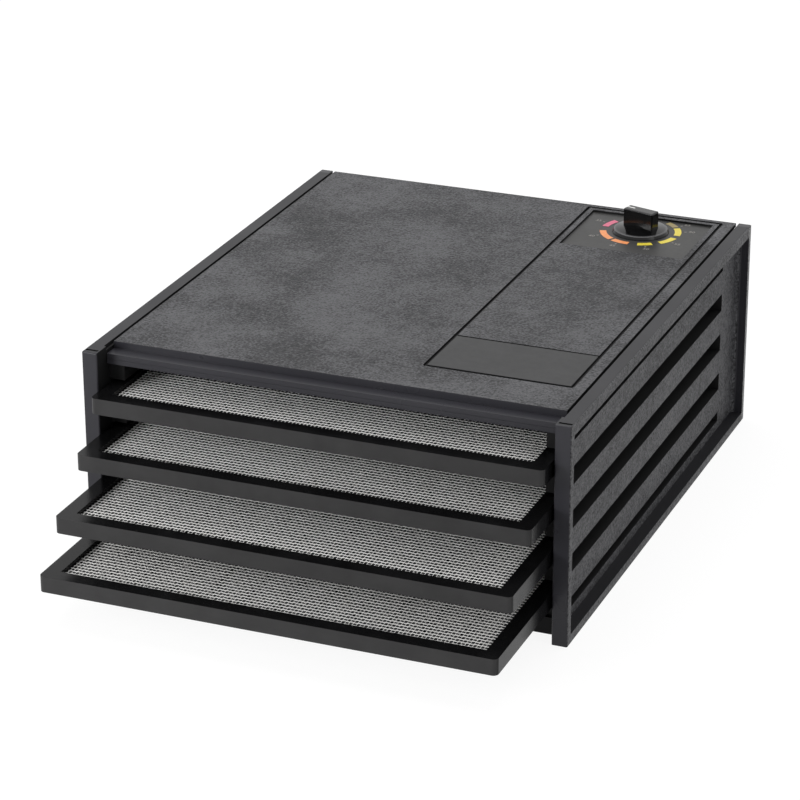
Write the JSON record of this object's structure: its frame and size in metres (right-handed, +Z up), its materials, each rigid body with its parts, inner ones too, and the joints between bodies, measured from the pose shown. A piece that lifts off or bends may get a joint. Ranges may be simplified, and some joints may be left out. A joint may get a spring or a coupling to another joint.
{
  "type": "food dehydrator",
  "caption": "Box-shaped countertop food dehydrator with sliding mesh-lined trays, a rear fan and ring heater, and a thermostat knob on top.",
  "frame": {"origin": "centre of the case's underside, on the surface that it stands on", "axes": "+Z up, +Y from the open front towards the fan at the back, +X towards the side with the controls"},
  "size_m": [0.381, 0.551, 0.1885],
  "materials": {
    "bronze": "sintered bronze",
    "bushing_black": "black flexible bushing",
    "case_screws": "blackened steel",
    "case_smooth": "smooth dark plastic",
    "case_textured": "fine textured charcoal plastic with a faint cloudy sheen",
    "ceramic": "unglazed ceramic",
    "copper": "enamelled copper winding under tape",
    "cutoff_metal": "drawn aluminium can",
    "dial_plate": "smooth satin plastic with plain coloured segments and numbers",
    "fan_plastic": "heat-resistant moulded plastic",
    "heating_element": "oxidised steel sheath",
    "knob": "glossy black",
    "laminations": "stacked silicon-steel sheet",
    "lead_sleeve": "heat-resistant sleeved wire",
    "mesh": "flexible natural-white plastic mesh",
    "pointer": "white inlaid mark",
    "switch_black": "black moulded plastic",
    "terminal_white": "pale moulded plastic",
    "tray_plastic": "black plastic, glossy on the rim and satin on the front",
    "zinc_steel": "zinc-plated steel"
  },
  "bodies": {
    "case": {"back_panel": "case_smooth", "back_panel_screws": "case_screws", "baffle": "case_smooth", "baffle_low_screws": "zinc_steel", "baffle_top_screws": "zinc_steel", "blank_badge": "case_smooth", "bottom_panel": "case_smooth", "bottom_panel_screws": "case_screws", "cord_bushing": "bushing_black", "cutoff_lead": "lead_sleeve", "dial_plate": "dial_plate", "element_lead": "lead_sleeve", "front_bearing": "bronze", "front_bearing_strap": "zinc_steel", "heater_element": "heating_element", "heater_post_screws": "zinc_steel", "heater_posts": "ceramic", "left_side_panel": "case_textured", "motor_bolts": "zinc_steel", "motor_bracket": "zinc_steel", "motor_bracket_screws": "zinc_steel", "motor_coil": "copper", "motor_core": "laminations", "motor_lead": "lead_sleeve", "rear_bearing": "bronze", "rear_bearing_strap": "zinc_steel", "return_lead": "lead_sleeve", "right_side_panel": "case_textured", "switch_housing": "switch_black", "switch_lead": "lead_sleeve", "terminal_block": "terminal_white", "terminal_screws": "zinc_steel", "thermal_cutoff": "cutoff_metal", "thermostat_body": "switch_black", "thermostat_bracket": "zinc_steel", "thermostat_lead": "lead_sleeve", "thermostat_nut": "zinc_steel", "top_panel": "case_textured", "top_panel_screws": "case_screws"},
    "knob_body": {"knob": "knob", "knob_pointer": "pointer", "thermostat_stem": "zinc_steel"},
    "fan": {"fan_blade": "fan_plastic", "fan_clip": "zinc_steel", "motor_shaft": "zinc_steel", "motor_rotor": "zinc_steel"},
    "rocker": {"switch_rocker": "switch_black"},
    "tray_1": {"tray_1_frame": "tray_plastic", "tray_1_screen": "mesh"},
    "tray_2": {"tray_2_frame": "tray_plastic", "tray_2_screen": "mesh"},
    "tray_3": {"tray_3_frame": "tray_plastic", "tray_3_screen": "mesh"},
    "tray_4": {"tray_4_frame": "tray_plastic", "tray_4_screen": "mesh"}
  },
  "joints": [
    {"name": "tray_1_slide", "type": "slide", "parent": "case", "child": "tray_1", "axis": [0, -1, 0], "range_m": [-0.0346, 0.2759]},
    {"name": "tray_2_slide", "type": "slide", "parent": "case", "child": "tray_2", "axis": [0, -1, 0], "range_m": [-0.0606, 0.2499]},
    {"name": "tray_3_slide", "type": "slide", "parent": "case", "child": "tray_3", "axis": [0, -1, 0], "range_m": [-0.0973, 0.2132]},
    {"name": "tray_4_slide", "type": "slide", "parent": "case", "child": "tray_4", "axis": [0, -1, 0], "range_m": [-0.125, 0.1855]},
    {"name": "thermostat_knob_turn", "type": "hinge", "parent": "case", "child": "knob_body", "pos_m": [0.1099, 0.1787, 0.1703], "axis": [0, 0, 1], "range_deg": [0, 240]},
    {"name": "fan_spin", "type": "hinge", "parent": "case", "child": "fan", "pos_m": [0, 0.161, 0.0857], "axis": [0, 1, 0], "continuous": true},
    {"name": "power_switch_rock", "type": "hinge", "parent": "case", "child": "rocker", "pos_m": [0.1355, 0.216, 0.066], "axis": [1, 0, 0], "range_deg": [-20, 0]}
  ]
}
